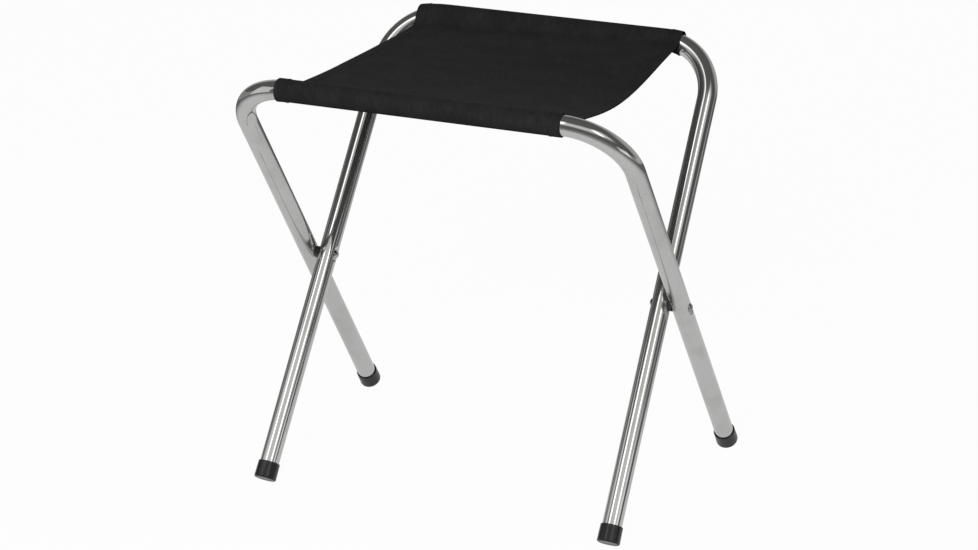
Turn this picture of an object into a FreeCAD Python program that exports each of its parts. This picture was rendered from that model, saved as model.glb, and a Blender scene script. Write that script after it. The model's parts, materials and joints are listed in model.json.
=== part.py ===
import FreeCAD, Part
import math
import os

from FreeCAD import Vector

# Folding camp stool. Millimetres, +Z up, +Y to the back, origin on the floor under the middle of the seat.
# Two tube frames cross like an X and turn on one rivet at each side.

# Tube frames
tube_radius = 9.5
wall = 1.0
outer_width = 388.0             # between the outer frame's leg centres, at its bar
tube_gap = 1.5                  # between the two frames' tubes at the pivot
leg_length = 500.0              # from the bar's axis to the flat end of the foot
bar_to_pivot = 265.0
splay = 7.0                     # each leg's outward lean from bar to foot
bend_radius = 58.0
lean = 36.0                     # degrees each frame leans from upright

# Pivots
dimple_depth = 1.1
dimple_radius = 6.0
dimple_slope = 3.0              # height and extra radius of the dimple's sloping side
rivet_radius = 3.0
running_clearance = 0.08        # rivet in the inner tube's holes
side_clearance = 0.2
head_radius = 4.7
head_height = 2.7
spacer_radius = 5.9

# Rubber feet
cap_radius = 11.0
cap_rim_radius = 10.7
cap_length = 17.0
cap_floor = 4.0
cap_edge = 1.5
rim_edge = 0.4
cap_sink = 5.5                  # height of the foot end's centre above the floor

# Seat cloth
cloth = 1.2
sleeve_bore = 10.2
seam_reach = 18.0               # from the bar's axis to the end of the sleeve's double layer
seat_width = 283.0
seat_centre_front = -2.5        # the cloth's middle sits a little to the left of the frame's
seat_centre_rear = -9.5
seat_sag = 26.0                 # how far the middle of the cloth hangs below its ends
rear_panel_reach = 110.0        # from the rear bar's axis to the rear panel's front edge
panel_gap = 0.5
hem_width = 12.5
hem_thickness = 0.7
flare = 0.7                     # extra room at the front sleeve's mouths
flare_length = 14.0

# Room for the narrow frame's bends inside the ends of the rear sleeve, in degrees from upright
room_top = 15.0
room_back = 48.0
roof_margin = 0.05

# Stitches along each sleeve's seam
stitch_pitch = 3.6
stitch_length = 2.6
stitch_width = 0.7
stitch_height = 0.35
stitch_line = 13.0              # from the bar's axis
stitch_margin = 5.0             # from each side of the cloth

# Worked out from the above
bore_radius = tube_radius - wall
inner_width = outer_width - 2 * (2 * tube_radius + tube_gap)
pivot_to_foot = leg_length - bar_to_pivot
lean_rad = math.radians(lean)
pivot_height = cap_sink + pivot_to_foot * math.cos(lean_rad)
bar_height = pivot_height + bar_to_pivot * math.cos(lean_rad)
bar_reach = bar_to_pivot * math.sin(lean_rad)
splay_rad = math.atan2(splay, leg_length)
sleeve_radius = sleeve_bore + cloth
sag_run = bar_reach - seam_reach
sag_radius = (sag_run ** 2 + seat_sag ** 2) / (2 * seat_sag)
sag_centre = bar_height + sleeve_bore + cloth / 2 - seat_sag + sag_radius
across = Vector(1, 0, 0)
origin = Vector(0, 0, 0)
overrun = 1.0                   # how far a cutting shape runs past what it cuts
far = 60.0                      # how far an open-sided cutting shape reaches
same_height = 0.01              # two heights closer than this are one
outer_lean = lean               # the outer frame's bar leans to the front
inner_lean = -lean


def stand(shape, frame_lean):
    """Leans a shape drawn on the upright frame, pivot at the origin, and lifts it to the pivot's height."""
    placed = shape.copy()
    placed.rotate(origin, across, frame_lean)
    placed.translate(Vector(0, 0, pivot_height))
    return placed


def leg_x(width, z):
    return width / 2 + splay * (bar_to_pivot - z) / leg_length


def centreline(width):
    """The tube's path on the upright frame: up the right leg, over the bar, down the left leg."""
    turn = math.pi / 2 - splay_rad
    reach = bend_radius * math.tan(turn / 2)
    foot_z = cap_floor - pivot_to_foot
    up_x = reach * math.sin(splay_rad)
    up_z = reach * math.cos(splay_rad)
    bend_x = width / 2 - reach
    bend_z = bar_to_pivot - bend_radius
    middle = (math.pi / 2 + splay_rad) / 2
    foot = Vector(leg_x(width, foot_z), 0, foot_z)
    bend_low = Vector(width / 2 + up_x, 0, bar_to_pivot - up_z)
    bend_middle = Vector(bend_x + bend_radius * math.cos(middle), 0, bend_z + bend_radius * math.sin(middle))
    bend_top = Vector(bend_x, 0, bar_to_pivot)
    right = [foot, bend_low, bend_middle, bend_top]
    left = [Vector(-point.x, 0, point.z) for point in right]
    edges = [
        Part.makeLine(right[0], right[1]),
        Part.Arc(right[1], right[2], right[3]).toShape(),
        Part.makeLine(right[3], left[3]),
        Part.Arc(left[3], left[2], left[1]).toShape(),
        Part.makeLine(left[1], left[0]),
    ]
    return Part.Wire(edges)


def swept_rod(width, radius):
    path = centreline(width)
    start = path.OrderedVertexes[0].Point
    direction = Vector(-math.sin(splay_rad), 0, math.cos(splay_rad))
    profile = Part.Wire(Part.makeCircle(radius, start, direction))
    return path.makePipeShell([profile], True, True)


def dimple(centre_x, side, inset):
    """A shallow round dent pressed into a tube's side, flat bottomed with a sloping edge."""
    bottom = centre_x + side * (tube_radius - dimple_depth - inset)
    wide = dimple_radius + dimple_slope
    return Part.makeCone(dimple_radius, wide, dimple_slope, Vector(bottom, 0, 0), across * side)


def frame_tube(width, hole_radius):
    """One bent tube with a dimple on each face of each leg at the pivot and a hole through both walls."""
    skin = swept_rod(width, tube_radius)
    bore = swept_rod(width, bore_radius)
    for side in (1, -1):
        centre_x = side * leg_x(width, 0)
        for face in (1, -1):
            skin = skin.cut(dimple(centre_x, face, 0))
            bore = bore.cut(dimple(centre_x, face, wall))
    tube = skin.cut(bore)
    for side in (1, -1):
        start_x = side * leg_x(width, 0) - tube_radius - overrun
        hole = Part.makeCylinder(hole_radius, 2 * (tube_radius + overrun), Vector(start_x, 0, 0), across)
        tube = tube.cut(hole)
    return tube


def domed_head(base_x, side):
    """A round rivet head whose flat base is at base_x and whose dome points to the given side."""
    ball_radius = (head_radius ** 2 + head_height ** 2) / (2 * head_height)
    centre_x = base_x - side * (ball_radius - head_height)
    ball = Part.makeSphere(ball_radius, Vector(centre_x, 0, 0))
    start_x = base_x if side > 0 else base_x - head_height - overrun
    keep = Part.makeCylinder(head_radius + overrun, head_height + overrun, Vector(start_x, 0, 0), across)
    return ball.common(keep)


def pivot_rivet(side):
    """The shank through both tubes with a head on the inside and a set head on the outside."""
    seat = tube_radius - dimple_depth
    inside = leg_x(inner_width, 0) - seat - side_clearance
    outside = leg_x(outer_width, 0) + seat
    shank = Part.makeCylinder(rivet_radius, outside - inside, Vector(inside, 0, 0), across)
    rivet = shank.fuse([domed_head(inside, -1), domed_head(outside, 1)]).removeSplitter()
    if side < 0:
        rivet = rivet.mirror(origin, across)
    return stand(rivet, outer_lean)


def pivot_spacer(side):
    """The nylon collar that sits in the two facing dimples."""
    seat = tube_radius - dimple_depth
    start = leg_x(inner_width, 0) + seat + side_clearance
    length = leg_x(outer_width, 0) - seat - start
    collar = Part.makeCylinder(spacer_radius, length, Vector(start, 0, 0), across)
    collar = collar.cut(Part.makeCylinder(rivet_radius, length, Vector(start, 0, 0), across))
    if side < 0:
        collar = collar.mirror(origin, across)
    return stand(collar, outer_lean)


def foot_cap(width, side, frame_lean):
    """A rubber cup on the end of a leg, with the small land it stands on."""
    cup = Part.makeCone(cap_radius, cap_rim_radius, cap_length)
    cup = cup.makeFillet(cap_edge, [cup.Edges[i] for i in ring_edges(cup, 0)])
    cup = cup.makeFillet(rim_edge, [cup.Edges[i] for i in ring_edges(cup, cap_length)])
    depth = cap_length - cap_floor + overrun
    cup = cup.cut(Part.makeCylinder(tube_radius, depth, Vector(0, 0, cap_floor)))
    cup.rotate(origin, Vector(0, 1, 0), -side * math.degrees(splay_rad))
    cup.translate(Vector(side * leg_x(width, -pivot_to_foot), 0, -pivot_to_foot))
    cup = stand(cup, frame_lean)
    size = 4 * cap_length
    box = cup.BoundBox
    ground = Part.makeBox(size, size, size, Vector(box.XMin - cap_length, box.YMin - cap_length, -size))
    return cup.cut(ground)


def ring_edges(shape, height):
    """Indices of the round edges that lie at one height."""
    found = []
    for index, edge in enumerate(shape.Edges):
        box = edge.BoundBox
        level = abs(box.ZMin - height) < same_height and abs(box.ZMax - height) < same_height
        if level and len(edge.Vertexes) == 1:
            found.append(index)
    return found


def seat_edges(inward):
    """Left and right limits of the cloth at a bar: the front bar for +1, the rear bar for -1."""
    centre = seat_centre_front if inward > 0 else seat_centre_rear
    return centre - seat_width / 2, centre + seat_width / 2


def prism(points, inward, left, right):
    """A bar along X whose section is given from the bar's axis as (towards the seat's middle, up)."""
    bar_y = -inward * bar_reach
    corners = [Vector(left, bar_y + inward * reach, bar_height + up) for reach, up in points]
    corners.append(corners[0])
    return Part.Face(Part.makePolygon(corners)).extrude(Vector(right - left, 0, 0))


def bar_rod(radius, inward, left, right):
    start = Vector(left, -inward * bar_reach, bar_height)
    return Part.makeCylinder(radius, right - left, start, across)


def tear_section(radius, apex_reach, apex_up):
    """The four-sided part between a round sleeve and the point where its two layers meet."""
    distance = math.hypot(apex_reach, apex_up)
    angle = math.atan2(apex_up, apex_reach) - math.acos(radius / distance)
    low = (radius * math.cos(angle), radius * math.sin(angle))
    return [(0, 0), (0, radius), (apex_reach, radius), (apex_reach, apex_up), low], angle


def sleeve_solid(inward, left, right):
    """Cloth wrapped round the bar and brought back under itself to the seam, like a long drop."""
    outline, angle = tear_section(sleeve_radius, seam_reach, sleeve_bore - cloth / 2)
    body = bar_rod(sleeve_radius, inward, left, right).fuse(prism(outline, inward, left, right))
    low = (sleeve_bore * math.cos(angle), sleeve_bore * math.sin(angle))
    apex = low[0] + (sleeve_bore - low[1]) * math.tan(-angle)
    hollow = [(0, 0), (0, sleeve_bore), (apex, sleeve_bore), low]
    start = left - overrun
    end = right + overrun
    void = bar_rod(sleeve_bore, inward, start, end).fuse(prism(hollow, inward, start, end))
    return body.cut(void)


def bend_room():
    """The room that the narrow frame's bends sweep under and behind the ends of the rear sleeve."""
    left, right = seat_edges(-1)
    roof = sleeve_bore - roof_margin
    roof_start = roof * math.tan(math.radians(room_top))
    back = far * math.tan(math.radians(room_back))
    section = [(0, 0), (roof_start, roof), (far, roof), (far, -far), (-back, -far)]
    bend_start = inner_width / 2 - bend_radius + overrun
    left_room = prism(section, -1, left - overrun, -bend_start)
    right_room = prism(section, -1, bend_start, right + overrun)
    return [left_room, right_room]


def front_sleeve():
    left, right = seat_edges(1)
    sleeve = sleeve_solid(1, left, right)
    for end, direction in ((left, 1), (right, -1)):
        centre = Vector(end, -bar_reach, bar_height)
        mouth = Part.makeCone(sleeve_bore + flare, sleeve_bore, flare_length, centre, across * direction)
        sleeve = sleeve.cut(mouth)
    return sleeve


def rear_sleeve():
    left, right = seat_edges(-1)
    return sleeve_solid(-1, left, right).cut(bend_room())


def edge_x(side, y):
    """The cloth's side edge at a given depth: a straight line from the front bar to the rear bar."""
    share = (y + bar_reach) / (2 * bar_reach)
    centre = seat_centre_front + share * (seat_centre_rear - seat_centre_front)
    return centre + side * seat_width / 2


def plan_limits(y_start, y_end, left_inset, right_inset):
    """An upright block over a strip of the seat; an inset is measured from the left or right side edge."""
    corners = []
    for side, inset, y in ((-1, left_inset, y_start), (1, right_inset, y_start),
                           (1, right_inset, y_end), (-1, left_inset, y_end)):
        corners.append(Vector(edge_x(side, y) - side * inset, y, bar_height - far))
    corners.append(corners[0])
    return Part.Face(Part.makePolygon(corners)).extrude(Vector(0, 0, 2 * far))


def sagging_layer(block, below, above):
    """The part of a block that lies between two heights over the sagging cloth's middle surface."""
    start = Vector(-seat_width, 0, sag_centre)
    layer = Part.makeCylinder(sag_radius - below, 2 * seat_width, start, across)
    layer = layer.cut(Part.makeCylinder(sag_radius - above, 2 * seat_width, start, across))
    return layer.common(block)


def seat_panel(inward, reach):
    bar_y = -inward * bar_reach
    block = plan_limits(bar_y + inward * seam_reach, bar_y + inward * reach, 0, 0)
    return sagging_layer(block, -cloth / 2, cloth / 2)


def seat_hem(inward, side, reach):
    """The doubled side edge of the cloth, round the end of the sleeve and along the panel."""
    edges = seat_edges(inward)
    left = edges[0] if side < 0 else edges[1] - hem_width
    ring_radius = sleeve_radius + hem_thickness
    ring = bar_rod(ring_radius, inward, left, left + hem_width)
    ring = ring.cut(bar_rod(sleeve_radius, inward, left - overrun, left + hem_width + overrun))
    inner_side = [(0, -far), (0, sleeve_radius), (far, sleeve_radius), (far, -far)]
    ring = ring.cut(prism(inner_side, inward, left - overrun, left + hem_width + overrun))
    if inward < 0:
        ring = ring.cut(bend_room())
    bar_y = -inward * bar_reach
    seam_y = bar_y + inward * seam_reach
    inset = seat_width - hem_width
    insets = (0, inset) if side < 0 else (inset, 0)
    strip = plan_limits(seam_y, bar_y + inward * reach, *insets)
    band = sagging_layer(strip, cloth / 2, cloth / 2 + hem_thickness)
    top = [(0, sleeve_radius), (seam_reach, sleeve_radius), (seam_reach, ring_radius), (0, ring_radius)]
    cap = prism(top, inward, edges[0], edges[1]).common(plan_limits(bar_y, seam_y, *insets))
    return ring.fuse([cap, band]).removeSplitter()


def seam_stitches(inward):
    """A row of separate lockstitches on top of the sleeve's double layer."""
    left, right = seat_edges(inward)
    start = left + hem_width + stitch_margin
    count = int((right - hem_width - stitch_margin - start - stitch_length) / stitch_pitch) + 1
    y = -inward * (bar_reach - stitch_line) - stitch_width / 2
    z = bar_height + sleeve_radius
    stitches = []
    for index in range(count):
        corner = Vector(start + index * stitch_pitch, y, z)
        stitches.append(Part.makeBox(stitch_length, stitch_width, stitch_height, corner))
    return Part.makeCompound(stitches)


def build():
    front_reach = 2 * bar_reach - rear_panel_reach - panel_gap
    nodes = {
        "outer_frame_tube": stand(frame_tube(outer_width, rivet_radius), outer_lean),
        "inner_frame_tube": stand(frame_tube(inner_width, rivet_radius + running_clearance), inner_lean),
        "front_sleeve": front_sleeve(),
        "rear_sleeve": rear_sleeve(),
        "front_seat_panel": seat_panel(1, front_reach),
        "rear_seat_panel": seat_panel(-1, rear_panel_reach),
        "front_seam_stitches": seam_stitches(1),
        "rear_seam_stitches": seam_stitches(-1),
    }
    for name, side in (("left", -1), ("right", 1)):
        nodes["foot_cap_rear_" + name] = foot_cap(outer_width, side, outer_lean)
        nodes["foot_cap_front_" + name] = foot_cap(inner_width, side, inner_lean)
        nodes["pivot_rivet_" + name] = pivot_rivet(side)
        nodes["pivot_spacer_" + name] = pivot_spacer(side)
        nodes["front_" + name + "_hem"] = seat_hem(1, side, front_reach)
        nodes["rear_" + name + "_hem"] = seat_hem(-1, side, rear_panel_reach)
    return nodes


def save(nodes):
    os.makedirs("parts", exist_ok=True)
    for name, shape in nodes.items():
        shape.exportStep("parts/" + name + ".step")
        volume = round(shape.Volume / 1000, 2)
        print(name, "solids", len(shape.Solids), "valid", shape.isValid(), "cm3", volume)


save(build())
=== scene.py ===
import json
import math

import bpy
import numpy as np
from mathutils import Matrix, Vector, noise
from mathutils.kdtree import KDTree


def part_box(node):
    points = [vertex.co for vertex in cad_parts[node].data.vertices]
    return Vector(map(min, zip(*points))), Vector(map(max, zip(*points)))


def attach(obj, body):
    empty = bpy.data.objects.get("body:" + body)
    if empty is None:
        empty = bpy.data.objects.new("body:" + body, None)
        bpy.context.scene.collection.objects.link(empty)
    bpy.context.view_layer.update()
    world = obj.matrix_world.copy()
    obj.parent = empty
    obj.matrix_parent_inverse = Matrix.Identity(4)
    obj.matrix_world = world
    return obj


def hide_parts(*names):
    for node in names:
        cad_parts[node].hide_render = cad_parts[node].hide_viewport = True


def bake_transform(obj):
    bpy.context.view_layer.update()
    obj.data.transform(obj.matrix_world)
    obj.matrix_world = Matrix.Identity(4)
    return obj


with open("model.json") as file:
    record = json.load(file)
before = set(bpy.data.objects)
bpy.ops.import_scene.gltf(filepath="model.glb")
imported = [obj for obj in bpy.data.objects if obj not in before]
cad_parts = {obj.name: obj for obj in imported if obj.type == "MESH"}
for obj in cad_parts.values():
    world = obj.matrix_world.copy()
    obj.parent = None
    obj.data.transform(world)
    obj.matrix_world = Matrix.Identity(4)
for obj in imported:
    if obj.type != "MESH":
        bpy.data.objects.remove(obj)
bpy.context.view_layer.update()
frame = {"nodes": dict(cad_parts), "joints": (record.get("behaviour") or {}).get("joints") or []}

nodes = frame["nodes"]
scene = bpy.context.scene


def joint(name):
    return next(j for j in frame["joints"] if j["name"] == name)


# Places worked out from the frame, in metres
pivot = Vector(joint("fold")["pos_m"])
frontBar = Vector(joint("front_sleeve_turn")["pos_m"])
rearBar = Vector(joint("rear_sleeve_turn")["pos_m"])
foldAngle = joint("fold")["range_deg"][1]
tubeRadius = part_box("inner_frame_tube")[1].z - rearBar.z
barToPivot = math.hypot(rearBar.y - pivot.y, rearBar.z - pivot.z)
leanAngle = math.atan2(rearBar.y - pivot.y, rearBar.z - pivot.z)
print("frame read")


# Helpers for node trees

def addNode(tree, kind, place=(0, 0), **settings):
    node = tree.nodes.new(kind)
    node.location = place
    for name, value in settings.items():
        setattr(node, name, value)
    return node


def join(tree, value, socket):
    if isinstance(value, bpy.types.NodeSocket):
        tree.links.new(value, socket)
    else:
        socket.default_value = value


def maths(tree, operation, *values, place=(0, 0)):
    node = addNode(tree, "ShaderNodeMath", place, operation=operation)
    for index, value in enumerate(values):
        join(tree, value, node.inputs[index])
    return node.outputs[0]


def chain(tree, value, place, *stages):
    # carries a value through a row of Math nodes
    x, y = place
    for index, (operation, *others) in enumerate(stages):
        value = maths(tree, operation, value, *others, place=(x + 150 * index, y))
    return value


def mixColour(tree, share, first, second, place=(0, 0)):
    node = addNode(tree, "ShaderNodeMix", place, data_type="RGBA")
    join(tree, share, node.inputs[0])
    join(tree, first, node.inputs[6])
    join(tree, second, node.inputs[7])
    return node.outputs[2]


def spread(tree, value, low, high, place=(0, 0)):
    # carries a mask from 0..1 to low..high
    node = addNode(tree, "ShaderNodeMapRange", place)
    tree.links.new(value, node.inputs["Value"])
    node.inputs["To Min"].default_value = low
    node.inputs["To Max"].default_value = high
    return node.outputs[0]


def step(tree, value, low, high, place=(0, 0)):
    # a soft step from 0 at low to 1 at high
    node = addNode(tree, "ShaderNodeMapRange", place, interpolation_type="SMOOTHSTEP")
    tree.links.new(value, node.inputs["Value"])
    node.inputs["From Min"].default_value = low
    node.inputs["From Max"].default_value = high
    return node.outputs[0]


def noiseMask(tree, vector, scale, detail, place=(0, 0)):
    node = addNode(tree, "ShaderNodeTexNoise", place)
    node.inputs["Scale"].default_value = scale
    node.inputs["Detail"].default_value = detail
    tree.links.new(vector, node.inputs["Vector"])
    return node.outputs["Fac"]


def newGroup(name, inputs, outputs):
    group = bpy.data.node_groups.new(name, "ShaderNodeTree")
    for socketName, socketType, value in inputs:
        socket = group.interface.new_socket(name=socketName, in_out="INPUT", socket_type=socketType)
        if value is not None:
            socket.default_value = value
    for socketName, socketType in outputs:
        group.interface.new_socket(name=socketName, in_out="OUTPUT", socket_type=socketType)
    enter = addNode(group, "NodeGroupInput", (-900, 0))
    leave = addNode(group, "NodeGroupOutput", (900, 0))
    return group, enter, leave


def useGroup(tree, group, place, values):
    node = addNode(tree, "ShaderNodeGroup", place)
    node.node_tree = group
    for name, value in values.items():
        join(tree, value, node.inputs[name])
    return node


# Shader effects that several materials share

wearPattern = {
    "scratchTurn": (0.5, 0.2, 0.9),
    "scratchStretch": (1.0, 0.06, 0.35),
    "scratchEdge": (0.64, 0.74),  # where the noise turns into scratches
    "smudgeEdge": (0.42, 0.70),
}


def makeWearGroup():
    # fine scratches, hand smudges and a slow waviness, all on object coordinates
    group, enter, leave = newGroup(
        "surface wear",
        [("Vector", "NodeSocketVector", None), ("Scratch Scale", "NodeSocketFloat", 900.0),
         ("Smudge Scale", "NodeSocketFloat", 30.0), ("Wave Scale", "NodeSocketFloat", 45.0)],
        [("Scratches", "NodeSocketFloat"), ("Smudges", "NodeSocketFloat"), ("Waves", "NodeSocketFloat")],
    )
    stretch = addNode(group, "ShaderNodeMapping", (-650, 250))
    stretch.inputs["Rotation"].default_value = wearPattern["scratchTurn"]
    stretch.inputs["Scale"].default_value = wearPattern["scratchStretch"]
    group.links.new(enter.outputs["Vector"], stretch.inputs["Vector"])
    fine = addNode(group, "ShaderNodeTexNoise", (-400, 250))
    fine.inputs["Detail"].default_value = 3.0
    group.links.new(stretch.outputs[0], fine.inputs["Vector"])
    group.links.new(enter.outputs["Scratch Scale"], fine.inputs["Scale"])
    scratches = step(group, fine.outputs["Fac"], *wearPattern["scratchEdge"], (-100, 250))
    group.links.new(scratches, leave.inputs["Scratches"])
    smudge = addNode(group, "ShaderNodeTexNoise", (-400, 0))
    smudge.inputs["Detail"].default_value = 4.0
    group.links.new(enter.outputs["Vector"], smudge.inputs["Vector"])
    group.links.new(enter.outputs["Smudge Scale"], smudge.inputs["Scale"])
    smudges = step(group, smudge.outputs["Fac"], *wearPattern["smudgeEdge"], (-100, 0))
    group.links.new(smudges, leave.inputs["Smudges"])
    wave = addNode(group, "ShaderNodeTexNoise", (-400, -250))
    wave.inputs["Detail"].default_value = 1.0
    group.links.new(enter.outputs["Vector"], wave.inputs["Vector"])
    group.links.new(enter.outputs["Wave Scale"], wave.inputs["Scale"])
    group.links.new(wave.outputs["Fac"], leave.inputs["Waves"])
    return group


weavePattern = {
    "under": 0.35,                # height of a thread where it passes under, against 1 where it passes over
    "ribStretch": (1.0, 0.10, 1.0),
    "slubEdge": (0.34, 0.66),
    "mottleScale": 38.0,
    "mottleEdge": (0.34, 0.66),
}


def threadSet(group, across, along, shift, place):
    # the humps of one set of threads: over and under the other set by turns
    x, y = place
    hump = chain(group, across, (x, y), ("MULTIPLY", math.pi), ("SINE",), ("ABSOLUTE",))
    row = maths(group, "FLOOR", across, place=(x, y - 150))
    over = chain(group, along, (x + 150, y - 150), ("ADD", row), ("ADD", shift), ("MULTIPLY", math.pi),
                 ("SINE",), ("MULTIPLY_ADD", 0.5, 0.5))
    lift = spread(group, over, weavePattern["under"], 1.0, (x + 900, y - 150))
    return maths(group, "MULTIPLY", hump, lift, place=(x + 1100, y))


def makeWeaveGroup():
    # plain weave on a map in metres: its height, and slubs where a thread runs thicker
    group, enter, leave = newGroup(
        "plain weave",
        [("Vector", "NodeSocketVector", None), ("Threads", "NodeSocketFloat", 1250.0),
         ("Rib", "NodeSocketFloat", 950.0)],
        [("Height", "NodeSocketFloat"), ("Slubs", "NodeSocketFloat"), ("Mottle", "NodeSocketFloat")],
    )
    scaled = addNode(group, "ShaderNodeVectorMath", (-700, 200), operation="SCALE")
    group.links.new(enter.outputs["Vector"], scaled.inputs[0])
    group.links.new(enter.outputs["Threads"], scaled.inputs["Scale"])
    split = addNode(group, "ShaderNodeSeparateXYZ", (-500, 200))
    group.links.new(scaled.outputs[0], split.inputs[0])
    warp = threadSet(group, split.outputs["X"], split.outputs["Y"], 0.0, (-300, 500))
    weft = threadSet(group, split.outputs["Y"], split.outputs["X"], 1.0, (-300, 100))
    group.links.new(maths(group, "MAXIMUM", warp, weft, place=(1000, 300)), leave.inputs["Height"])
    stretch = addNode(group, "ShaderNodeMapping", (-500, -200))
    stretch.inputs["Scale"].default_value = weavePattern["ribStretch"]
    group.links.new(enter.outputs["Vector"], stretch.inputs["Vector"])
    rib = addNode(group, "ShaderNodeTexNoise", (-300, -200))
    rib.inputs["Detail"].default_value = 2.0
    group.links.new(stretch.outputs[0], rib.inputs["Vector"])
    group.links.new(enter.outputs["Rib"], rib.inputs["Scale"])
    slubs = step(group, rib.outputs["Fac"], *weavePattern["slubEdge"], (0, -200))
    group.links.new(slubs, leave.inputs["Slubs"])
    blotch = noiseMask(group, enter.outputs["Vector"], weavePattern["mottleScale"], 4.0, (-300, -450))
    mottle = step(group, blotch, *weavePattern["mottleEdge"], (0, -450))
    group.links.new(mottle, leave.inputs["Mottle"])
    leave.location = (1300, 0)
    return group


wearGroup = makeWearGroup()
weaveGroup = makeWeaveGroup()


def newMaterial(name):
    material = bpy.data.materials.new(name)
    material.use_nodes = True
    tree = material.node_tree
    return material, tree, tree.nodes["Principled BSDF"]


def objectPlace(tree):
    return addNode(tree, "ShaderNodeTexCoord", (-1300, 0)).outputs["Object"]


def bumped(tree, height, strength, distance, place=(-250, -350), normal=None):
    bump = addNode(tree, "ShaderNodeBump", place)
    bump.inputs["Strength"].default_value = strength
    bump.inputs["Distance"].default_value = distance
    tree.links.new(height, bump.inputs["Height"])
    if normal is not None:
        tree.links.new(normal, bump.inputs["Normal"])
    return bump.outputs[0]


chrome = {
    "clean": (0.60, 0.60, 0.595, 1.0),
    "smudged": (0.54, 0.54, 0.53, 1.0),
    "roughness": (0.05, 0.14),
    "metallic": 0.95,             # the rest is haze
    "scratchScale": 900.0,
    "smudgeScale": 30.0,
    "waveScale": 45.0,
    "smudgeShare": 0.55,          # of the roughness that smudges and scratches bring
    "scratchShare": 0.45,
    "waveDepth": 0.00006,
    "scratchDepth": 0.000002,
}


def chromeMaterial():
    material, tree, shader = newMaterial("chromed steel")
    wear = useGroup(tree, wearGroup, (-1000, 0), {
        "Vector": objectPlace(tree), "Scratch Scale": chrome["scratchScale"],
        "Smudge Scale": chrome["smudgeScale"], "Wave Scale": chrome["waveScale"]})
    smudges = wear.outputs["Smudges"]
    scratches = wear.outputs["Scratches"]
    colour = mixColour(tree, smudges, chrome["clean"], chrome["smudged"], (-500, 300))
    tree.links.new(colour, shader.inputs["Base Color"])
    scratched = maths(tree, "MULTIPLY", scratches, chrome["scratchShare"], place=(-750, -150))
    worn = maths(tree, "MULTIPLY_ADD", smudges, chrome["smudgeShare"], scratched, place=(-550, -50))
    tree.links.new(spread(tree, worn, *chrome["roughness"], (-350, -50)), shader.inputs["Roughness"])
    shader.inputs["Metallic"].default_value = chrome["metallic"]
    wavy = bumped(tree, wear.outputs["Waves"], 0.5, chrome["waveDepth"], (-450, -350))
    tree.links.new(bumped(tree, scratches, 0.4, chrome["scratchDepth"], normal=wavy), shader.inputs["Normal"])
    return material


rivet = {
    "bright": (0.50, 0.50, 0.49, 1.0),
    "dull": (0.33, 0.33, 0.325, 1.0),
    "roughness": (0.2, 0.38),
    "scratchScale": 1600.0,
    "smudgeScale": 260.0,
    "scratchDepth": 0.00001,
}


def rivetMaterial():
    material, tree, shader = newMaterial("rivet steel")
    wear = useGroup(tree, wearGroup, (-1000, 0), {
        "Vector": objectPlace(tree), "Scratch Scale": rivet["scratchScale"],
        "Smudge Scale": rivet["smudgeScale"]})
    smudges = wear.outputs["Smudges"]
    colour = mixColour(tree, smudges, rivet["bright"], rivet["dull"], (-500, 300))
    tree.links.new(colour, shader.inputs["Base Color"])
    tree.links.new(spread(tree, smudges, *rivet["roughness"], (-350, -50)), shader.inputs["Roughness"])
    shader.inputs["Metallic"].default_value = 1.0
    scratched = bumped(tree, wear.outputs["Scratches"], 0.5, rivet["scratchDepth"])
    tree.links.new(scratched, shader.inputs["Normal"])
    return material


rubber = {
    "clean": (0.0045, 0.0045, 0.0050, 1.0),
    "scuffed": (0.022, 0.0215, 0.0205, 1.0),
    "roughness": (0.26, 0.55),
    "scuffHeight": 0.009,
    "scuffShare": (0.25, 0.9),    # least and most, patch by patch
    "smudgeScale": 130.0,
    "grainScale": 2600.0,
    "grainDepth": 0.00012,
}


def rubberMaterial():
    # scuffed and dusty where the cup meets the ground
    material, tree, shader = newMaterial("foot rubber")
    place = objectPlace(tree)
    split = addNode(tree, "ShaderNodeSeparateXYZ", (-1050, 250))
    tree.links.new(place, split.inputs[0])
    wear = useGroup(tree, wearGroup, (-1050, -50), {"Vector": place, "Smudge Scale": rubber["smudgeScale"]})
    high = step(tree, split.outputs["Z"], 0.0, rubber["scuffHeight"], (-850, 250))
    low = maths(tree, "SUBTRACT", 1.0, high, place=(-650, 250))
    patches = spread(tree, wear.outputs["Smudges"], *rubber["scuffShare"], (-850, 50))
    scuff = maths(tree, "MULTIPLY", low, patches, place=(-480, 200))
    colour = mixColour(tree, scuff, rubber["clean"], rubber["scuffed"], (-300, 300))
    tree.links.new(colour, shader.inputs["Base Color"])
    tree.links.new(spread(tree, scuff, *rubber["roughness"], (-300, 50)), shader.inputs["Roughness"])
    grain = noiseMask(tree, place, rubber["grainScale"], 3.0, (-700, -350))
    tree.links.new(bumped(tree, grain, 0.35, rubber["grainDepth"]), shader.inputs["Normal"])
    return material


nylon = {
    "dark": (0.010, 0.010, 0.011, 1.0),
    "light": (0.022, 0.022, 0.022, 1.0),
    "roughness": (0.36, 0.5),
    "smudgeScale": 300.0,
    "grainScale": 3000.0,
    "grainDepth": 0.0001,
}


def nylonMaterial():
    material, tree, shader = newMaterial("spacer nylon")
    place = objectPlace(tree)
    wear = useGroup(tree, wearGroup, (-1000, 0), {"Vector": place, "Smudge Scale": nylon["smudgeScale"]})
    smudges = wear.outputs["Smudges"]
    colour = mixColour(tree, smudges, nylon["dark"], nylon["light"], (-500, 250))
    tree.links.new(colour, shader.inputs["Base Color"])
    tree.links.new(spread(tree, smudges, *nylon["roughness"], (-350, 0)), shader.inputs["Roughness"])
    grain = noiseMask(tree, place, nylon["grainScale"], 2.0, (-700, -350))
    tree.links.new(bumped(tree, grain, 0.25, nylon["grainDepth"]), shader.inputs["Normal"])
    return material


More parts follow.
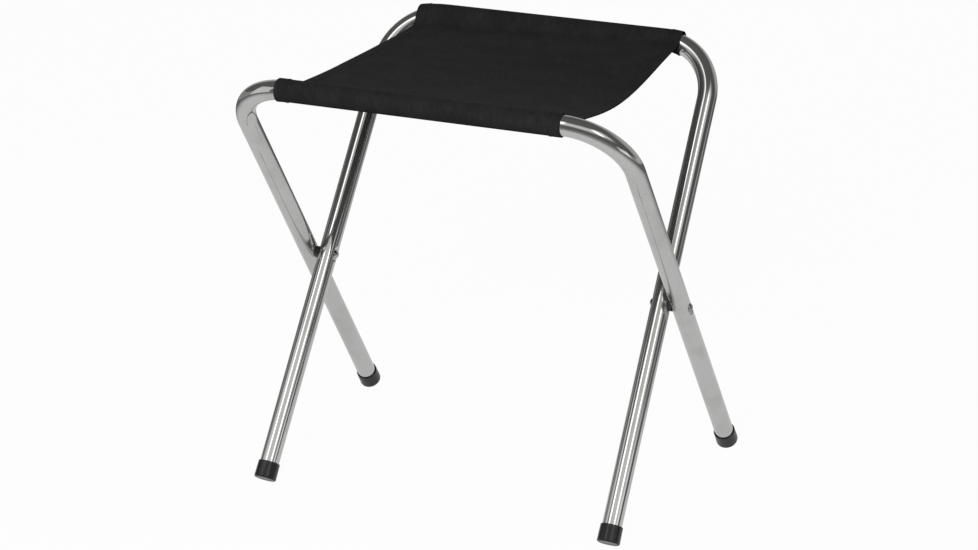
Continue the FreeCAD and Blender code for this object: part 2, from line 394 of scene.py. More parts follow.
cloth = {
    # dark in the weave's hollows and light on the threads' crowns, as painted shade, with the slubs' and
    # blotches' own random tone on top
    "dark": (0.0064, 0.0064, 0.0066, 1.0),
    "light": (0.0195, 0.0195, 0.0198, 1.0),
    "threads": 1250.0,            # per metre
    "ribScale": 950.0,
    "slubTone": (0.42, 0.86),     # brightness, darkest and lightest, by thread and by blotch
    "mottleTone": (0.72, 1.2),
    "roughness": (0.95, 0.78),    # between the threads, on top of them
    "weaveDepth": 0.00016,
    "ribDepth": 0.00008,
    "sheen": 0.015,
    "sheenRoughness": 0.5,
    "specular": 0.0,
}


def clothMaterial():
    # the weave follows the piece's own map, in metres across and along the cloth
    material, tree, shader = newMaterial("black woven polyester")
    flatMap = addNode(tree, "ShaderNodeUVMap", (-1300, -200), uv_map="clothMap")
    weave = useGroup(tree, weaveGroup, (-1050, 0), {
        "Vector": flatMap.outputs[0], "Threads": cloth["threads"], "Rib": cloth["ribScale"]})
    height = weave.outputs["Height"]
    slubs = weave.outputs["Slubs"]
    slubTone = spread(tree, slubs, *cloth["slubTone"], (-850, 100))
    mottleTone = spread(tree, weave.outputs["Mottle"], *cloth["mottleTone"], (-850, -150))
    # the colour follows the weave's height: painted shade in its hollows and down each thread's sides,
    # lighter on the crowns, times the slubs' and blotches' own random tone
    tone = chain(tree, height, (-650, 150), ("MULTIPLY", slubTone), ("MULTIPLY", mottleTone))
    colour = mixColour(tree, tone, cloth["dark"], cloth["light"], (-300, 300))
    tree.links.new(colour, shader.inputs["Base Color"])
    tree.links.new(spread(tree, height, *cloth["roughness"], (-300, 50)), shader.inputs["Roughness"])
    shader.inputs["Specular IOR Level"].default_value = cloth["specular"]
    shader.inputs["Sheen Weight"].default_value = cloth["sheen"]
    shader.inputs["Sheen Roughness"].default_value = cloth["sheenRoughness"]
    ribbed = bumped(tree, slubs, 0.4, cloth["ribDepth"], (-480, -350))
    tree.links.new(bumped(tree, height, 0.8, cloth["weaveDepth"], normal=ribbed), shader.inputs["Normal"])
    return material


thread = {
    "dark": (0.006, 0.006, 0.006, 1.0),
    "light": (0.014, 0.014, 0.0145, 1.0),
    "roughness": (0.7, 0.9),
    "specular": 0.15,
    "twistScale": 4500.0,
    "twistDepth": 0.00008,
}


def threadMaterial():
    material, tree, shader = newMaterial("black sewing thread")
    twist = noiseMask(tree, objectPlace(tree), thread["twistScale"], 2.0, (-900, 100))
    colour = mixColour(tree, twist, thread["dark"], thread["light"], (-500, 250))
    tree.links.new(colour, shader.inputs["Base Color"])
    tree.links.new(spread(tree, twist, *thread["roughness"], (-500, 0)), shader.inputs["Roughness"])
    shader.inputs["Specular IOR Level"].default_value = thread["specular"]
    tree.links.new(bumped(tree, twist, 0.5, thread["twistDepth"]), shader.inputs["Normal"])
    return material


materials = {
    "chrome": chromeMaterial(),
    "rivet": rivetMaterial(),
    "rubber": rubberMaterial(),
    "nylon": nylonMaterial(),
    "cloth": clothMaterial(),
    "thread": threadMaterial(),
}


def paintNode(name, material):
    for slot in nodes[name].material_slots:
        slot.material = material


for side in ("left", "right"):
    paintNode("foot_cap_rear_" + side, materials["rubber"])
    paintNode("foot_cap_front_" + side, materials["rubber"])
    paintNode("pivot_rivet_" + side, materials["rivet"])
    paintNode("pivot_spacer_" + side, materials["nylon"])
print("materials made")


# Meshes from grids of points

def gridFaces(rows, columns, closed=False):
    # quads between the rows of a grid whose points lie row after row
    faces = []
    last = columns if closed else columns - 1
    for i in range(rows - 1):
        for j in range(last):
            k = (j + 1) % columns
            faces.append((i * columns + j, i * columns + k, (i + 1) * columns + k, (i + 1) * columns + j))
    return faces


def newPiece(name, points, faces, material):
    mesh = bpy.data.meshes.new(name)
    mesh.from_pydata([tuple(p) for p in points], [], faces)
    mesh.materials.append(material)
    mesh.polygons.foreach_set("use_smooth", [True] * len(mesh.polygons))
    mesh.update()
    piece = bpy.data.objects.new(name, mesh)
    scene.collection.objects.link(piece)
    return piece


# The two bent tube frames

frameTube = {
    "bendRadius": 0.058,
    "splayRate": 0.014,           # sideways, for each length down the leg
    "barToEnd": 0.496,            # from the bar's axis to the tube's end inside the foot
    "ringPoints": 72,
    "legStep": 0.006,
    "dentStep": 0.0005,
    "dentZone": 0.012,
    "dentDepth": 0.0011,
    "dentRadius": 0.006,
    "dentSlope": 0.003,           # width of the sloped edge round the dent
    "dentRise": 0.62,             # height of that edge for each length out
    "dentFade": 0.002,
    "dentFaces": 0.5,             # only what is further from the leg's middle, in radii, is pressed
    "dentEase": 0.0006,           # roundness of the dent's edges
    "bendSteps": 40,
    "barStep": 0.01,
}


def legStations():
    # heights above the pivot of a leg's rings, closer together at the dents
    low = barToPivot - frameTube["barToEnd"]
    splay = math.atan(frameTube["splayRate"])
    high = barToPivot - frameTube["bendRadius"] * math.tan(math.pi / 4 - splay / 2) * math.cos(splay)
    zone = frameTube["dentZone"]
    below = np.linspace(low, -zone, int((-zone - low) / frameTube["legStep"]))
    near = np.linspace(-zone, zone, int(2 * zone / frameTube["dentStep"]))
    above = np.linspace(zone, high, int((high - zone) / frameTube["legStep"]))
    return np.concatenate([below, near[1:-1], above])


def tubeLine(width):
    # the upright frame's centre line and directions, up one leg, over the bar and down the other
    splay = math.atan(frameTube["splayRate"])
    radius = frameTube["bendRadius"]
    points = []
    headings = []
    for z in legStations():
        points.append((width / 2 + frameTube["splayRate"] * (barToPivot - z), z))
        headings.append((-math.sin(splay), math.cos(splay)))
    bendX = width / 2 - radius * math.tan(math.pi / 4 - splay / 2)
    bendZ = barToPivot - radius
    for angle in np.linspace(splay, math.pi / 2, frameTube["bendSteps"])[1:]:
        points.append((bendX + radius * math.cos(angle), bendZ + radius * math.sin(angle)))
        headings.append((-math.sin(angle), math.cos(angle)))
    for x in np.linspace(bendX, 0, int(bendX / frameTube["barStep"]))[1:]:
        points.append((x, barToPivot))
        headings.append((-1.0, 0.0))
    points += [(-x, z) for x, z in reversed(points[:-1])]
    headings += [(x, -z) for x, z in reversed(headings[:-1])]
    return np.array(points), np.array(headings)


def easeLimit(distance, limit, ease):
    # distance, held below limit with a rounded edge
    over = distance - limit
    return limit + 0.5 * (over - np.sqrt(over * over + ease * ease)) + 0.25 * ease


def pressDents(points, width):
    # flattens each face of each leg round the pivot, as a press does
    side = np.sign(points[:, 0])
    centre = side * (width / 2 + frameTube["splayRate"] * barToPivot)
    away = points[:, 0] - centre
    ring = np.hypot(points[:, 1], points[:, 2])
    reach = frameTube["dentRadius"] + frameTube["dentSlope"]
    slope = np.clip(ring - frameTube["dentRadius"], 0, frameTube["dentSlope"])
    limit = tubeRadius - frameTube["dentDepth"] + slope * frameTube["dentRise"]
    depth = np.abs(away)
    pressed = np.minimum(depth, easeLimit(depth, limit, frameTube["dentEase"]))
    held = np.where(depth > frameTube["dentFaces"] * tubeRadius, pressed, depth)
    share = np.clip((reach + frameTube["dentFade"] - ring) / frameTube["dentFade"], 0, 1)
    points[:, 0] = centre + np.sign(away) * (share * held + (1 - share) * depth)
    return points


def frameLegWidth(cadName):
    # between the leg centres at the bar, from the size of the tube's box
    splay = math.atan(frameTube["splayRate"])
    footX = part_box(cadName)[1].x - tubeRadius * math.cos(splay)
    return 2 * (footX - frameTube["splayRate"] * frameTube["barToEnd"])


def makeTube(name, cadName, body, lean):
    width = frameLegWidth(cadName)
    line, headings = tubeLine(width)
    angles = np.linspace(0, 2 * math.pi, frameTube["ringPoints"], endpoint=False)
    outward = np.stack([headings[:, 1], -headings[:, 0]], -1)
    x = line[:, :1] + tubeRadius * outward[:, :1] * np.cos(angles)
    z = line[:, 1:] + tubeRadius * outward[:, 1:] * np.cos(angles)
    y = np.broadcast_to(tubeRadius * np.sin(angles), x.shape)
    points = pressDents(np.stack([x, y, z], -1).reshape(-1, 3), width)
    turned = points.copy()
    turned[:, 1] = points[:, 1] * math.cos(lean) - points[:, 2] * math.sin(lean) + pivot.y
    turned[:, 2] = points[:, 1] * math.sin(lean) + points[:, 2] * math.cos(lean) + pivot.z
    rows, columns = x.shape
    faces = gridFaces(rows, columns, closed=True)
    faces.append(tuple(reversed(range(columns))))
    faces.append(tuple(range((rows - 1) * columns, rows * columns)))
    piece = newPiece(name, turned, faces, materials["chrome"])
    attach(piece, body)
    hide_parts(cadName)


makeTube("outer_frame_chrome", "outer_frame_tube", "outer_frame", leanAngle)
makeTube("inner_frame_chrome", "inner_frame_tube", "inner_frame", -leanAngle)
print("tubes made")


# The seat: one cloth, wrapped round each bar and sewn back to its own underside

seat = {
    "thickness": 0.0009,
    "play": 0.00025,              # between the tubes and the cloth round them
    "seamReach": 0.0175,          # from the bar's axis to where the two layers meet
    "tail": 0.009,                # turned-in cloth beyond the seam
    "layerGap": 0.00015,
    "lowerSlack": 0.0015,         # how far the layer under each bar hangs out
    "fallReach": 0.005,           # how quickly the cloth falls from the bars to its level
    # levels over the bars' axes that each side edge falls to, at five places from front to rear
    "leftEdge": (-0.0010, -0.0068, -0.0096, -0.0104, -0.0086),
    "rightEdge": (-0.0010, -0.0118, -0.0168, -0.0088, -0.0020),
    "rearCentre": -0.0045,        # the rear sleeve's middle, from the stool's
    "hemWidth": 0.0125,
    "hemOut": 0.00035,            # extra thickness of the doubled side edges, outside and inside
    "hemIn": 0.0004,
    "hemEase": 0.0012,
    "hemFade": 0.02,              # the hems' inside grows from once to twice this far from each bar
    "edgeRound": 0.0009,
    "edgeThin": 0.02,             # least of the edge's thickness, squared
    "tailSteps": 6,
    "lowerSteps": 12,
    "ringSteps": 48,
    "panelSteps": 96,
    "acrossSteps": 84,
    "hemSteps": 7,
    "endFall": 0.35,              # how much of the bars' bends the cloth's ends follow
    "bendReach": 0.012,           # how far that runs into the panel
    "rippleDepth": 0.0011,
    "rippleClear": 0.012,         # from each bar's axis, without waves
    "rippleEase": 0.03,
    "slowWaves": (11.0, 6.0),     # per metre, across and along
    "quickWaves": (34.0, 17.0),
    "quickShare": 0.3,
    "foldGap": 0.75,              # degrees between the middle plane and each half when folded up
    "foldTurn": 1.7,
    "tailTurn": 0.3,              # between the turned-in cloth and the panel over it
}
ringRadius = tubeRadius + seat["play"] + seat["thickness"] / 2
halfSpan = (rearBar.y - frontBar.y) / 2
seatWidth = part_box("front_sleeve")[1].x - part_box("front_sleeve")[0].x


def panelLevel(edge, y):
    # height over the bars of the panel's slow curve, a smooth one through the edge's levels
    curve = np.polyfit(np.linspace(-1, 1, len(edge)), edge, len(edge) - 1)
    return float(np.polyval(curve, y / halfSpan))


def leaveBar(edge, end):
    # where the panel leaves a bar: its slope angle there, its distance from the axis, its fall
    slope = 1.0
    nearby = 0.001
    for _ in range(30):           # settles well before this
        start = ringRadius * math.sin(slope)
        level = panelLevel(edge, end * (halfSpan - start))
        further = panelLevel(edge, end * (halfSpan - start - nearby))
        fall = ringRadius * math.cos(slope) - level
        slope = math.atan(fall / seat["fallReach"] + (level - further) / nearby)
    return slope, start, fall


def halfProfile(edge, end):
    # half of the cloth's section as (distance from its bar, height over it); end is -1 front, 1 rear
    slope, start, fall = leaveBar(edge, end)

    def panelHeight(reach):
        level = panelLevel(edge, end * (halfSpan - reach))
        return level + fall * math.exp((start - reach) / seat["fallReach"])

    drop = seat["thickness"] + seat["layerGap"]
    tail = [(reach, panelHeight(reach) - drop) for reach in
            np.linspace(seat["seamReach"] + seat["tail"], seat["seamReach"], seat["tailSteps"])]
    seam = tail[-1]
    distance = math.hypot(*seam)
    low = math.atan2(seam[1], seam[0]) - math.acos(ringRadius / distance)
    touch = (ringRadius * math.cos(low), ringRadius * math.sin(low))
    lower = [(seam[0] + share * (touch[0] - seam[0]),
              seam[1] + share * (touch[1] - seam[1]) - seat["lowerSlack"] * math.sin(math.pi * share) ** 2)
             for share in np.linspace(0, 1, seat["lowerSteps"])[1:-1]]
    ring = [(ringRadius * math.cos(angle), ringRadius * math.sin(angle)) for angle in
            np.linspace(low, math.pi / 2 - slope - 2 * math.pi, seat["ringSteps"])]
    panel = [(reach, panelHeight(reach)) for reach in
             start + (halfSpan - start) * np.linspace(0, 1, seat["panelSteps"] // 2)[1:] ** 1.5]
    line = np.array(tail + lower + ring + panel)
    corner = len(tail) - 1
    for _ in range(3):            # rounds the corner at the seam
        near = slice(corner - 2, corner + 3)
        line[near] = (line[corner - 3:corner + 2] + 2 * line[near] + line[corner - 1:corner + 4]) / 4
    return line


def wholeProfile(edge):
    # (y, height over the bars) from the front tail's end to the rear tail's end
    front = halfProfile(edge, -1)
    rear = halfProfile(edge, 1)
    front = np.stack([front[:, 0] - halfSpan, front[:, 1]], -1)
    rear = np.stack([halfSpan - rear[:-1, 0], rear[:-1, 1]], -1)[::-1]
    return np.concatenate([front, rear])


def runLength(line):
    return np.concatenate([[0], np.cumsum(np.hypot(*np.diff(line, axis=0).T))])


def acrossStations():
    # distances from the left edge: close together at the rounded edges and at the hems' steps
    hem, ease, edgeRound = seat["hemWidth"], seat["hemEase"], seat["edgeRound"]
    left = [share * edgeRound for share in (0.0, 0.12, 0.32, 0.6, 1.0)]
    left += list(np.linspace(edgeRound, hem - 1.5 * ease, seat["hemSteps"])[1:])
    left += list(np.linspace(hem - ease, hem + ease, seat["hemSteps"]))
    middle = list(np.linspace(left[-1], seatWidth - left[-1], seat["acrossSteps"])[1:-1])
    return np.array(left + middle + [seatWidth - u for u in reversed(left)])


def smoothShare(value):
    held = np.clip(value, 0, 1)
    return held * held * (3 - 2 * held)


def followBend(across, y, height, barWidth, lean, barY):
    # lets the cloth's ends down a little where the bar bends, then pushes them clear of the tube
    radius = frameTube["bendRadius"]
    bendX = barWidth / 2 - radius * math.tan(math.pi / 4 - math.atan(frameTube["splayRate"]) / 2)
    beyond = np.maximum(np.abs(across) - bendX, 0)
    reach = np.hypot(y - barY, height)
    fade = np.exp(-(np.maximum(reach - ringRadius, 0) / seat["bendReach"]) ** 2)
    fall = seat["endFall"] * fade * (radius - np.sqrt(radius ** 2 - beyond ** 2))
    y = y + fall * math.sin(lean)
    height = height - fall * math.cos(lean)
    up = height * math.cos(lean) - (y - barY) * math.sin(lean)
    aside = (y - barY) * math.cos(lean) + height * math.sin(lean)
    turn = np.arctan2(beyond, radius + up)
    out = np.hypot(beyond, radius + up) - radius
    push = np.maximum(1, ringRadius / np.maximum(np.hypot(out, aside), 1e-6))
    near = np.abs(aside) < 2 * ringRadius
    push = np.where(near & (out > -2 * ringRadius), push, 1)
    newUp = (radius + out * push) * np.cos(turn) - radius
    newAside = aside * push
    newX = np.sign(across) * (np.abs(across) - beyond + (radius + out * push) * np.sin(turn))
    newY = barY + newAside * math.cos(lean) - newUp * math.sin(lean)
    return newX, newY, newUp * math.cos(lean) + newAside * math.sin(lean)


def foldShare(profile):
    # how much each line of the section turns with the narrow frame as the stool folds
    y = profile[:, 0]
    angle = np.degrees(np.arctan2(y, profile[:, 1] + frontBar.z - pivot.z))
    lean = seat["foldGap"] * (2 * smoothShare((angle / seat["foldTurn"] + 1) / 2) - 1)
    share = np.clip((angle + foldAngle / 2 - lean) / foldAngle, 0, 1)
    wrap = seat["tailSteps"] + seat["lowerSteps"] + seat["ringSteps"] - 2
    panel = slice(wrap, len(y) - wrap)
    tailTurn = seat["tailTurn"] / foldAngle
    share[:wrap] = np.clip(np.interp(y[:wrap], y[panel], share[panel]) - tailTurn, 0, 1)
    share[-wrap:] = np.clip(np.interp(y[-wrap:], y[panel], share[panel]) + tailTurn, 0, 1)
    under = seat["tailSteps"] + seat["lowerSteps"] - 2
    share[under:wrap] = 0.0
    share[-wrap:-under] = 1.0
    return share


def clothRipple(u, s):
    # slow waves over the panel, longer along the cloth than across it
    slow = noise.noise(Vector((u * seat["slowWaves"][0], s * seat["slowWaves"][1], 0.3)))
    quick = noise.noise(Vector((u * seat["quickWaves"][0], s * seat["quickWaves"][1], 4.1)))
    return slow + seat["quickShare"] * quick


def seatSurface():
    # the cloth's middle surface as a grid, with its map and its share of the fold
    stations = acrossStations()
    leftEdge, rightEdge = np.array(seat["leftEdge"]), np.array(seat["rightEdge"])
    middle = wholeProfile((leftEdge + rightEdge) / 2)
    lengths = runLength(middle)
    rows, columns = len(middle), len(stations)
    grid = np.zeros((rows, columns, 3))
    leftFront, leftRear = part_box("front_sleeve")[0].x, seat["rearCentre"] - seatWidth / 2
    outerWidth, innerWidth = frameLegWidth("outer_frame_tube"), frameLegWidth("inner_frame_tube")
    for j, u in enumerate(stations):
        share = u / seatWidth
        line = wholeProfile(leftEdge + (rightEdge - leftEdge) * smoothShare(share))
        depth = np.clip((line[:, 0] + halfSpan) / (2 * halfSpan), 0, 1)
        x = leftFront + u + depth * (leftRear - leftFront)
        onPanel = smoothShare((halfSpan - np.abs(line[:, 0]) - seat["rippleClear"]) / seat["rippleEase"])
        ripple = np.array([clothRipple(u, s) for s in lengths]) * seat["rippleDepth"]
        height = line[:, 1] + ripple * onPanel
        x, y, height = followBend(x, line[:, 0], height, outerWidth, leanAngle, frontBar.y)
        x, y, height = followBend(x, y, height, innerWidth, -leanAngle, rearBar.y)
        grid[:, j] = np.stack([x, y, height + frontBar.z], -1)
    return grid, stations, lengths, foldShare(middle)


def gridNormals(grid):
    along = np.gradient(grid, axis=0)
    across = np.gradient(grid, axis=1)
    normals = np.cross(across, along)
    return normals / np.linalg.norm(normals, axis=2, keepdims=True)


def edgeScale(stations):
    # the cloth's two side edges are rounded off
    inset = np.minimum(stations, seatWidth - stations) / seat["edgeRound"]
    return np.sqrt(np.clip(1 - (1 - np.clip(inset, 0, 1)) ** 2, seat["edgeThin"], 1))


def clothFaces(rows, columns):
    # the top, the bottom and the four edges of a cloth whose bottom points follow its top ones
    count = rows * columns
    faces = gridFaces(rows, columns)
    faces += [tuple(k + count for k in reversed(face)) for face in faces]
    edges = []
    for i in range(rows - 1):
        edges.append((i * columns, (i + 1) * columns))
        edges.append(((i + 2) * columns - 1, (i + 1) * columns - 1))
    for j in range(columns - 1):
        edges.append((j + 1, j))
        edges.append((count - columns + j, count - columns + j + 1))
    return faces + [(b, b + count, a + count, a) for a, b in edges]


def makeSeat():
    grid, stations, lengths, share = seatSurface()
    normals = gridNormals(grid)
    inset = np.minimum(stations, seatWidth - stations)
    hem = 1 - smoothShare((inset - seat["hemWidth"] + seat["hemEase"]) / (2 * seat["hemEase"]))
    fromBars = halfSpan - np.abs(grid[:, :, 1])
    inside = smoothShare((fromBars - seat["hemFade"]) / seat["hemFade"])
    scale = edgeScale(stations)
    over = (seat["thickness"] / 2 + hem * seat["hemOut"]) * scale
    under = (seat["thickness"] / 2 + hem * seat["hemIn"] * inside) * scale
    top = grid + normals * over[None, :, None]
    bottom = grid - normals * under[:, :, None]
    rows, columns = grid.shape[:2]
    points = np.concatenate([top.reshape(-1, 3), bottom.reshape(-1, 3)])
    piece = newPiece("seat_cloth", points, clothFaces(rows, columns), materials["cloth"])
    flat = np.stack(np.meshgrid(lengths, stations, indexing="ij")[::-1], -1).reshape(-1, 2)
    flat = np.concatenate([flat, flat])
    corners = np.zeros(len(piece.data.loops), np.int32)
    piece.data.loops.foreach_get("vertex_index", corners)
    clothMap = piece.data.uv_layers.new(name="clothMap")
    clothMap.data.foreach_set("uv", flat[corners].astype(np.float32).ravel())
    shares = np.concatenate([np.repeat(share, columns)] * 2)
    return piece, top, bottom, lengths, stations, shares


def bendWithFold(piece, shares):
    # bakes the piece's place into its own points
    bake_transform(piece)


seatCloth, seatTop, seatBottom, seatLengths, seatStations, seatShares = makeSeat()
print("seat made", len(seatCloth.data.polygons))


# Lockstitches, laid along paths on the cloth

stitch = {
    "pitch": 0.0036,
    "length": 0.0027,
    "thickness": 0.0006,
    "lift": 0.00008,              # of the thread's middle over the cloth
    "seamRows": (0.0190, 0.0250), # from the bar's axis
    "hemInset": 0.0100,           # from the side edge
    "margin": 0.004,              # between the hems and the ends of the seams' rows
    "underClear": 8,              # lines of the cloth left free beside each sleeve, under the hems
}


def stitchTree():
    tree = bpy.data.node_groups.new("lockstitches", "GeometryNodeTree")
    for name, kind, direction in (
            ("Geometry", "NodeSocketGeometry", "INPUT"), ("Pitch", "NodeSocketFloat", "INPUT"),
            ("Size", "NodeSocketVector", "INPUT"), ("Thread", "NodeSocketMaterial", "INPUT"),
            ("Geometry", "NodeSocketGeometry", "OUTPUT")):
        tree.interface.new_socket(name=name, in_out=direction, socket_type=kind)
    enter = addNode(tree, "NodeGroupInput", (-800, 0))
    leave = addNode(tree, "NodeGroupOutput", (1000, 0))
    path = addNode(tree, "GeometryNodeMeshToCurve", (-600, 0))
    dots = addNode(tree, "GeometryNodeCurveToPoints", (-400, 0), mode="LENGTH")
    turn = addNode(tree, "FunctionNodeAlignRotationToVector", (-200, -150), axis="X")
    ball = addNode(tree, "GeometryNodeMeshUVSphere", (-400, -350))
    ball.inputs["Segments"].default_value = 8
    ball.inputs["Rings"].default_value = 5
    ball.inputs["Radius"].default_value = 0.5
    smooth = addNode(tree, "GeometryNodeSetShadeSmooth", (-200, -350))
    place = addNode(tree, "GeometryNodeInstanceOnPoints", (50, 0))
    real = addNode(tree, "GeometryNodeRealizeInstances", (300, 0))
    colour = addNode(tree, "GeometryNodeSetMaterial", (550, 0))
    tree.links.new(enter.outputs["Geometry"], path.inputs["Mesh"])
    tree.links.new(path.outputs["Curve"], dots.inputs["Curve"])
    tree.links.new(enter.outputs["Pitch"], dots.inputs["Length"])
    tree.links.new(dots.outputs["Tangent"], turn.inputs["Vector"])
    tree.links.new(ball.outputs["Mesh"], smooth.inputs["Geometry"])
    tree.links.new(dots.outputs["Points"], place.inputs["Points"])
    tree.links.new(smooth.outputs["Geometry"], place.inputs["Instance"])
    tree.links.new(turn.outputs["Rotation"], place.inputs["Rotation"])
    tree.links.new(enter.outputs["Size"], place.inputs["Scale"])
    tree.links.new(place.outputs["Instances"], real.inputs["Geometry"])
    tree.links.new(real.outputs["Geometry"], colour.inputs["Geometry"])
    tree.links.new(enter.outputs["Thread"], colour.inputs["Material"])
    tree.links.new(colour.outputs["Geometry"], leave.inputs["Geometry"])
    return tree


def runTree(name, points, edges, tree, values):
    # a Geometry Nodes tree on a mesh of paths, turned into a plain mesh
    mesh = bpy.data.meshes.new(name + " paths")
    mesh.from_pydata([tuple(p) for p in points], edges, [])
    holder = bpy.data.objects.new(name + " paths", mesh)
    scene.collection.objects.link(holder)
    modifier = holder.modifiers.new("nodes", "NODES")
    modifier.node_group = tree
    for socket in tree.interface.items_tree:
        if socket.in_out == "INPUT" and socket.name in values:
            modifier[socket.identifier] = values[socket.name]
    graph = bpy.context.evaluated_depsgraph_get()
    made = bpy.data.meshes.new_from_object(holder.evaluated_get(graph), depsgraph=graph)
    bpy.data.objects.remove(holder)
    made.name = name
    piece = bpy.data.objects.new(name, made)
    scene.collection.objects.link(piece)
    return piece


def stitchPaths():
    # one path for each row of stitches, over and under the cloth
    hem = seat["hemWidth"] + stitch["margin"]
    columns = np.flatnonzero((seatStations > hem) & (seatStations < seatWidth - hem))
    middleY = seatTop[:, len(seatStations) // 2, 1]
    wrap = seat["tailSteps"] + seat["lowerSteps"] + seat["ringSteps"] - 2
    panel = np.arange(wrap, len(middleY) - wrap)
    normals = gridNormals(seatTop)
    paths = []
    for side, lift in ((seatTop, 1), (seatBottom, -1)):
        offset = lift * stitch["lift"]
        for bar, inward in ((frontBar.y, 1), (rearBar.y, -1)):
            for reach in stitch["seamRows"]:
                row = panel[np.argmin(np.abs(middleY[panel] - bar - inward * reach))]
                drop = 0 if lift > 0 else -(seat["thickness"] + seat["layerGap"])
                paths.append(side[row, columns] + normals[row, columns] * (offset + drop))
        for edge in (stitch["hemInset"], seatWidth - stitch["hemInset"]):
            column = np.argmin(np.abs(seatStations - edge))
            first = seat["tailSteps"] + seat["lowerSteps"] if lift > 0 else wrap + stitch["underClear"]
            rows = np.arange(first, len(middleY) - first)
            paths.append(side[rows, column] + normals[rows, column] * offset)
    return paths


def makeStitches():
    points = []
    edges = []
    for path in stitchPaths():
        start = len(points)
        points += list(path)
        edges += [(k, k + 1) for k in range(start, len(points) - 1)]
    size = (stitch["length"], stitch["thickness"], stitch["thickness"])
    return runTree("seat_stitches", points, edges, stitchTree(),
                   {"Pitch": stitch["pitch"], "Size": size, "Thread": materials["thread"]})


def sharesFromCloth(piece):
    # each stitch point takes the fold share of the nearest point of the cloth
    tree = KDTree(len(seatCloth.data.vertices))
    for vertex in seatCloth.data.vertices:
        tree.insert(vertex.co, vertex.index)
    tree.balance()
    return [seatShares[tree.find(vertex.co)[1]] for vertex in piece.data.vertices]


seatStitches = makeStitches()
bendWithFold(seatStitches, sharesFromCloth(seatStitches))
bendWithFold(seatCloth, seatShares)
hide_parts("front_sleeve", "rear_sleeve", "front_seat_panel", "rear_seat_panel",
            "front_left_hem", "front_right_hem", "rear_left_hem", "rear_right_hem")
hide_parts("front_seam_stitches", "rear_seam_stitches")


# Stage, light and camera

studio = {
    "cameraAt": (1.0134, -2.2915, 1.1036),
    "yaw": 23.89,                 # degrees to the left of straight ahead
    "pitch": 19.86,               # degrees down
    "lens": 100.75,
    "sensor": 36.0,
}


def makeCamera():
    data = bpy.data.cameras.new("camera")
    data.lens = studio["lens"]
    data.sensor_width = studio["sensor"]
    data.clip_end = 50.0
    camera = bpy.data.objects.new("camera", data)
    yaw = math.radians(studio["yaw"])
    pitch = math.radians(studio["pitch"])
    forward = Vector((-math.sin(yaw) * math.cos(pitch), math.cos(yaw) * math.cos(pitch), -math.sin(pitch)))
    camera.location = studio["cameraAt"]
    camera.rotation_euler = forward.to_track_quat("-Z", "Y").to_euler()
    scene.collection.objects.link(camera)
    scene.camera = camera


# Bright walls round the stool: azimuth from and to, height from and to, softness, brightness.
# In degrees, with azimuth 0 in front and 90 to the right. The level is the brightness of the rest.
room = {
    "tone": (1.0, 0.985, 0.965, 1.0),
    "backdrop": (1.0, 1.0, 1.0, 1.0),
    "level": 0.055,
    "mattCut": 0.55,              # how much less of the room matt surfaces get than polished ones
    "panels": (
        (-42, 80, 24, 52, 7, 0.68),
        (-33, -17, 34, 54, 5, 1.9),
        (44, 58, 27, 50, 5, 1.9),
        (128, 232, -20, 34, 14, 0.45),
    ),
}


def band(tree, value, low, high, soft, place):
    x, y = place
    rise = step(tree, value, low - soft, low + soft, (x, y))
    fall = step(tree, value, high - soft, high + soft, (x, y - 120))
    return maths(tree, "SUBTRACT", rise, fall, place=(x + 200, y))


def makeWorld():
    # plain white where the camera looks; a studio with soft walls for light and reflections
    world = bpy.data.worlds.new("studio")
    world.use_nodes = True
    tree = world.node_tree
    walls = tree.nodes["Background"]
    output = tree.nodes["World Output"]
    walls.inputs["Color"].default_value = room["tone"]
    coordinates = addNode(tree, "ShaderNodeTexCoord", (-1900, 0))
    split = addNode(tree, "ShaderNodeSeparateXYZ", (-1700, 0))
    tree.links.new(coordinates.outputs["Generated"], split.inputs[0])
    ahead = maths(tree, "MULTIPLY", split.outputs["Y"], -1.0, place=(-1500, 0))
    azimuth = chain(tree, split.outputs["X"], (-1300, 0), ("ARCTAN2", ahead), ("DEGREES",))
    aboveHorizon = chain(tree, split.outputs["Z"], (-1300, -200), ("ARCSINE",), ("DEGREES",))
    total = room["level"]
    for index, (azLow, azHigh, low, high, soft, level) in enumerate(room["panels"]):
        y = -400 * index
        wide = band(tree, azimuth, azLow, azHigh, soft, (-900, y))
        if azHigh > 180:
            wrapped = band(tree, azimuth, azLow - 360, azHigh - 360, soft, (-900, y - 200))
            wide = maths(tree, "ADD", wide, wrapped, place=(-500, y - 100))
        tall = band(tree, aboveHorizon, low, high, soft, (-700, y))
        panel = chain(tree, wide, (-350, y), ("MULTIPLY", tall), ("MULTIPLY", level))
        total = maths(tree, "ADD", total, panel, place=(-50, y))
    path = addNode(tree, "ShaderNodeLightPath", (150, 300))
    matt = path.outputs["Is Diffuse Ray"]
    lit = maths(tree, "MULTIPLY_ADD", matt, -room["mattCut"], 1.0, place=(-50, 250))
    tree.links.new(maths(tree, "MULTIPLY", total, lit, place=(100, 100)), walls.inputs["Strength"])
    backdrop = addNode(tree, "ShaderNodeBackground", (150, -150))
    backdrop.inputs["Color"].default_value = room["backdrop"]
    mix = addNode(tree, "ShaderNodeMixShader", (350, 0))
    tree.links.new(path.outputs["Is Camera Ray"], mix.inputs[0])
    tree.links.new(walls.outputs[0], mix.inputs[1])
    tree.links.new(backdrop.outputs[0], mix.inputs[2])
    tree.links.new(mix.outputs[0], output.inputs["Surface"])
    output.location = (550, 0)
    scene.world = world


ground = {
    "size": 6.0,
    "tone": 0.45,
    "roughness": 0.8,
    "seenGlow": 0.97,             # share of plain white in what the camera and the tubes see of it
    "mirroredGlow": 0.9,
    "mirroredLevel": (0.73, 0.11),  # brightness in the tubes, near the stool and far from it
    "levelFall": (0.55, 1.35),    # distances between which it falls
}


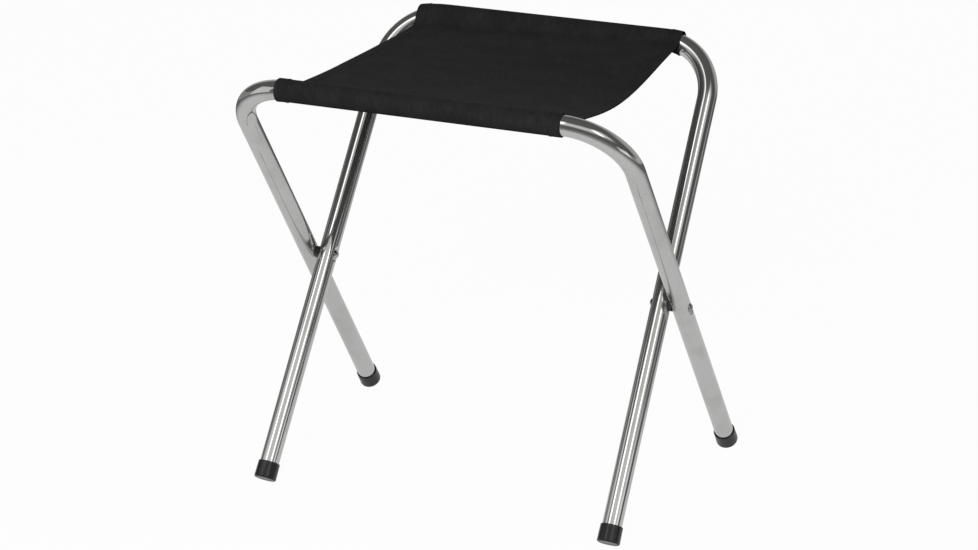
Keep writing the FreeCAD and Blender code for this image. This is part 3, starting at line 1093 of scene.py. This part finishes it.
def floorMaterial():
    material, tree, shader = newMaterial("pale floor")
    shader.inputs["Base Color"].default_value = (ground["tone"],) * 3 + (1.0,)
    shader.inputs["Roughness"].default_value = ground["roughness"]
    path = addNode(tree, "ShaderNodeLightPath", (0, 500))
    seen = maths(tree, "MULTIPLY", path.outputs["Is Camera Ray"], ground["seenGlow"], place=(200, 500))
    mirrored = maths(tree, "MULTIPLY", path.outputs["Is Glossy Ray"], ground["mirroredGlow"],
                     place=(200, 650))
    share = maths(tree, "ADD", seen, mirrored, place=(350, 550))
    distance = addNode(tree, "ShaderNodeVectorMath", (-750, -400), operation="LENGTH")
    tree.links.new(objectPlace(tree), distance.inputs[0])
    far = step(tree, distance.outputs["Value"], *ground["levelFall"], (-600, -400))
    level = spread(tree, far, *ground["mirroredLevel"], (-400, -400))
    glow = addNode(tree, "ShaderNodeEmission", (0, -400))
    tree.links.new(maths(tree, "MAXIMUM", level, path.outputs["Is Camera Ray"], place=(-200, -400)),
                   glow.inputs["Strength"])
    mix = addNode(tree, "ShaderNodeMixShader", (400, 0))
    tree.links.new(share, mix.inputs[0])
    tree.links.new(shader.outputs[0], mix.inputs[1])
    tree.links.new(glow.outputs[0], mix.inputs[2])
    tree.links.new(mix.outputs[0], tree.nodes["Material Output"].inputs["Surface"])
    return material


def makeFloor():
    half = ground["size"] / 2
    points = [(-half, -half, 0), (half, -half, 0), (half, half, 0), (-half, half, 0)]
    newPiece("floor", points, [(0, 1, 2, 3)], floorMaterial())


# Soft lights: place, the point that each faces, width, height, watts
lights = {
    "ceiling light": ((0.1, -0.3, 2.4), (0, 0, 0.2), 2.4, 2.4, 3),
    "front light": ((0.4, -2.2, 1.55), (0, 0, 0.3), 1.2, 0.9, 100),
    "back light": ((-0.8, 2.4, 1.4), (0, 0, 0.3), 1.6, 1.2, 8),
}


def makeLight(name, place, target, width, height, power):
    data = bpy.data.lights.new(name, "AREA")
    data.shape = "RECTANGLE"
    data.size = width
    data.size_y = height
    data.energy = power
    lamp = bpy.data.objects.new(name, data)
    lamp.location = place
    lamp.rotation_euler = (Vector(target) - Vector(place)).to_track_quat("-Z", "Y").to_euler()
    lamp.visible_camera = False
    lamp.visible_glossy = False
    scene.collection.objects.link(lamp)
    return lamp


# Low cards beside the stool that its tubes reflect: azimuth, distance, low and high edges, width, brightness
cards = {
    "left card": (-92, 1.1, 0.20, 0.46, 1.0, 0.20),
    "left front card": (-55, 1.1, 0.20, 0.90, 0.5, 0.70),
    "right card": (98, 1.1, 0.20, 0.38, 1.2, 0.25),
    "right front card": (73, 1.1, 0.20, 0.44, 0.5, 0.70),
}


def makeCard(name, azimuth, distance, low, high, width, level):
    turn = math.radians(azimuth)
    middle = (low + high) / 2
    place = (distance * math.sin(turn), -distance * math.cos(turn), middle)
    power = level * math.pi * width * (high - low)
    card = makeLight(name, place, (0, 0, middle), width, high - low, power)
    card.visible_glossy = True


makeCamera()
makeWorld()
makeFloor()
for name, values in lights.items():
    makeLight(name, *values)
for name, values in cards.items():
    makeCard(name, *values)
scene.view_settings.view_transform = "Standard"
print("stage ready")
